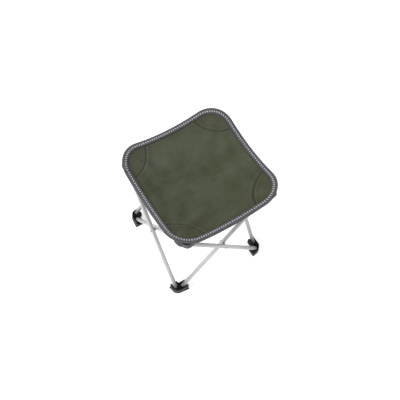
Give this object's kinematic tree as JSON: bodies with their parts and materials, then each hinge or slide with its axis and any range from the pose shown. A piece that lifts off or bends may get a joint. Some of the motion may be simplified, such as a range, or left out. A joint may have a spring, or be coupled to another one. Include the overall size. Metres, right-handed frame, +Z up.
{
  "type": "folding camp stool",
  "caption": "Folding camp stool: steel tubes crossed in an X on each side, moulded plastic feet and hubs at the corners, and a slung square cloth seat with a bound edge.",
  "frame": {"origin": "on the floor, under the middle of the seat", "axes": "+Z up; the four sides of the seat face -Y (front), +X (right), +Y (back) and -X (left)"},
  "size_m": [0.352, 0.352, 0.4165],
  "materials": {
    "frame_tube": "satin silver powder coat",
    "rivet": "zinc plated",
    "black_plastic": "satin moulded",
    "seat_cloth": "woven olive green polyester",
    "binding_tape": "grey woven tape with a row of light stitches",
    "pocket_cloth": "grey woven polyester"
  },
  "bodies": {
    "foot_front_left": {"front_left_foot": "black_plastic", "front_inner_foot_pin": "rivet", "left_outer_foot_pin": "rivet"},
    "foot_front_right": {"front_right_foot": "black_plastic", "right_inner_foot_pin": "rivet", "front_outer_foot_pin": "rivet"},
    "foot_back_right": {"back_right_foot": "black_plastic", "back_inner_foot_pin": "rivet", "right_outer_foot_pin": "rivet"},
    "foot_back_left": {"back_left_foot": "black_plastic", "left_inner_foot_pin": "rivet", "back_outer_foot_pin": "rivet"},
    "tube_front_inner": {"front_inner_tube": "frame_tube", "front_cross_rivet": "rivet", "front_cross_washer": "rivet"},
    "tube_front_outer": {"front_outer_tube": "frame_tube"},
    "tube_right_inner": {"right_inner_tube": "frame_tube", "right_cross_rivet": "rivet", "right_cross_washer": "rivet"},
    "tube_right_outer": {"right_outer_tube": "frame_tube"},
    "tube_back_inner": {"back_inner_tube": "frame_tube", "back_cross_rivet": "rivet", "back_cross_washer": "rivet"},
    "tube_back_outer": {"back_outer_tube": "frame_tube"},
    "tube_left_inner": {"left_inner_tube": "frame_tube", "left_cross_rivet": "rivet", "left_cross_washer": "rivet"},
    "tube_left_outer": {"left_outer_tube": "frame_tube"},
    "hub_front_left": {"front_left_hub": "black_plastic", "left_inner_hub_pin": "rivet", "front_outer_hub_pin": "rivet", "front_left_pocket": "pocket_cloth", "front_left_seat_corner": "seat_cloth", "front_seat_rim": "seat_cloth", "front_binding": "binding_tape"},
    "hub_front_right": {"front_right_hub": "black_plastic", "front_inner_hub_pin": "rivet", "right_outer_hub_pin": "rivet", "front_right_pocket": "pocket_cloth", "front_right_seat_corner": "seat_cloth", "right_seat_rim": "seat_cloth", "right_binding": "binding_tape"},
    "hub_back_right": {"back_right_hub": "black_plastic", "right_inner_hub_pin": "rivet", "back_outer_hub_pin": "rivet", "back_right_pocket": "pocket_cloth", "back_right_seat_corner": "seat_cloth", "back_seat_rim": "seat_cloth", "back_binding": "binding_tape"},
    "hub_back_left": {"back_left_hub": "black_plastic", "back_inner_hub_pin": "rivet", "left_outer_hub_pin": "rivet", "back_left_pocket": "pocket_cloth", "back_left_seat_corner": "seat_cloth", "left_seat_rim": "seat_cloth", "left_binding": "binding_tape"},
    "panel_front": {"front_seat_panel": "seat_cloth"},
    "panel_right": {"right_seat_panel": "seat_cloth"},
    "panel_back": {"back_seat_panel": "seat_cloth"},
    "panel_left": {"left_seat_panel": "seat_cloth"}
  },
  "joints": [
    {"name": "fold", "type": "hinge", "parent": "foot_front_left", "child": "tube_front_inner", "pos_m": [-0.136, -0.1425, 0.022], "axis": [0, -1, 0], "range_deg": [0, 32.4], "deforming": ["front_seat_rim", "front_binding", "front_seat_panel", "right_seat_rim", "right_binding", "right_seat_panel", "back_seat_rim", "back_binding", "back_seat_panel", "left_seat_rim", "left_binding", "left_seat_panel"]},
    {"name": "front_cross_hinge", "type": "hinge", "parent": "tube_front_inner", "child": "tube_front_outer", "pos_m": [0, -0.15, 0.20325], "axis": [0, 1, 0], "range_deg": [0, 65]},
    {"name": "front_outer_foot_hinge", "type": "hinge", "parent": "tube_front_outer", "child": "foot_front_right", "pos_m": [0.136, -0.1575, 0.022], "axis": [0, -1, 0], "range_deg": [0, 32.5]},
    {"name": "front_inner_hub_hinge", "type": "hinge", "parent": "tube_front_inner", "child": "hub_front_right", "pos_m": [0.136, -0.1425, 0.3845], "axis": [0, 1, 0], "range_deg": [0, 32.5]},
    {"name": "front_outer_hub_hinge", "type": "hinge", "parent": "tube_front_outer", "child": "hub_front_left", "pos_m": [-0.136, -0.1575, 0.3845], "axis": [0, -1, 0], "range_deg": [0, 32.5]},
    {"name": "left_outer_foot_hinge", "type": "hinge", "parent": "foot_front_left", "child": "tube_left_outer", "pos_m": [-0.1575, -0.136, 0.022], "axis": [1, 0, 0], "range_deg": [0, 32.5]},
    {"name": "left_cross_hinge", "type": "hinge", "parent": "tube_left_outer", "child": "tube_left_inner", "pos_m": [-0.15, 0, 0.20325], "axis": [-1, 0, 0], "range_deg": [0, 65]},
    {"name": "left_inner_foot_hinge", "type": "hinge", "parent": "tube_left_inner", "child": "foot_back_left", "pos_m": [-0.1425, 0.136, 0.022], "axis": [1, 0, 0], "range_deg": [0, 32.5]},
    {"name": "left_outer_hub_hinge", "type": "hinge", "parent": "tube_left_outer", "child": "hub_back_left", "pos_m": [-0.1575, 0.136, 0.3845], "axis": [-1, 0, 0], "range_deg": [0, 32.5]},
    {"name": "right_inner_foot_hinge", "type": "hinge", "parent": "foot_front_right", "child": "tube_right_inner", "pos_m": [0.1425, -0.136, 0.022], "axis": [1, 0, 0], "range_deg": [0, 32.5]},
    {"name": "right_cross_hinge", "type": "hinge", "parent": "tube_right_inner", "child": "tube_right_outer", "pos_m": [0.15, 0, 0.20325], "axis": [-1, 0, 0], "range_deg": [0, 65]},
    {"name": "right_outer_foot_hinge", "type": "hinge", "parent": "tube_right_outer", "child": "foot_back_right", "pos_m": [0.1575, 0.136, 0.022], "axis": [1, 0, 0], "range_deg": [0, 32.5]},
    {"name": "right_inner_hub_hinge", "type": "hinge", "parent": "tube_right_inner", "child": "hub_back_right", "pos_m": [0.1425, 0.136, 0.3845], "axis": [-1, 0, 0], "range_deg": [0, 32.5]},
    {"name": "back_outer_foot_hinge", "type": "hinge", "parent": "foot_back_left", "child": "tube_back_outer", "pos_m": [-0.136, 0.1575, 0.022], "axis": [0, -1, 0], "range_deg": [0, 32.5]},
    {"name": "back_cross_hinge", "type": "hinge", "parent": "tube_back_outer", "child": "tube_back_inner", "pos_m": [0, 0.15, 0.20325], "axis": [0, 1, 0], "range_deg": [0, 65]},
    {"name": "front_seat_fold", "type": "hinge", "parent": "hub_front_left", "child": "panel_front", "pos_m": [0, -0.13, 0.397], "axis": [-1, 0, 0], "range_deg": [0, 85]},
    {"name": "right_seat_fold", "type": "hinge", "parent": "hub_front_right", "child": "panel_right", "pos_m": [0.13, 0, 0.397], "axis": [0, -1, 0], "range_deg": [0, 85]},
    {"name": "back_seat_fold", "type": "hinge", "parent": "hub_back_right", "child": "panel_back", "pos_m": [0, 0.13, 0.397], "axis": [1, 0, 0], "range_deg": [0, 85]},
    {"name": "left_seat_fold", "type": "hinge", "parent": "hub_back_left", "child": "panel_left", "pos_m": [-0.13, 0, 0.397], "axis": [0, 1, 0], "range_deg": [0, 85]}
  ],
  "couplings": [
    {"joint": "front_cross_hinge", "follows": "fold", "ratio": 2},
    {"joint": "front_outer_foot_hinge", "follows": "fold", "ratio": 1},
    {"joint": "front_inner_hub_hinge", "follows": "fold", "ratio": 1},
    {"joint": "front_outer_hub_hinge", "follows": "fold", "ratio": 1},
    {"joint": "left_outer_foot_hinge", "follows": "fold", "ratio": 1},
    {"joint": "left_cross_hinge", "follows": "fold", "ratio": 2},
    {"joint": "left_inner_foot_hinge", "follows": "fold", "ratio": 1},
    {"joint": "left_outer_hub_hinge", "follows": "fold", "ratio": 1},
    {"joint": "right_inner_foot_hinge", "follows": "fold", "ratio": 1},
    {"joint": "right_cross_hinge", "follows": "fold", "ratio": 2},
    {"joint": "right_outer_foot_hinge", "follows": "fold", "ratio": 1},
    {"joint": "right_inner_hub_hinge", "follows": "fold", "ratio": 1},
    {"joint": "back_outer_foot_hinge", "follows": "fold", "ratio": 1},
    {"joint": "back_cross_hinge", "follows": "fold", "ratio": 2},
    {"joint": "front_seat_fold", "follows": "fold", "ratio": 2.62},
    {"joint": "right_seat_fold", "follows": "fold", "ratio": 2.62},
    {"joint": "back_seat_fold", "follows": "fold", "ratio": 2.62},
    {"joint": "left_seat_fold", "follows": "fold", "ratio": 2.62}
  ]
}
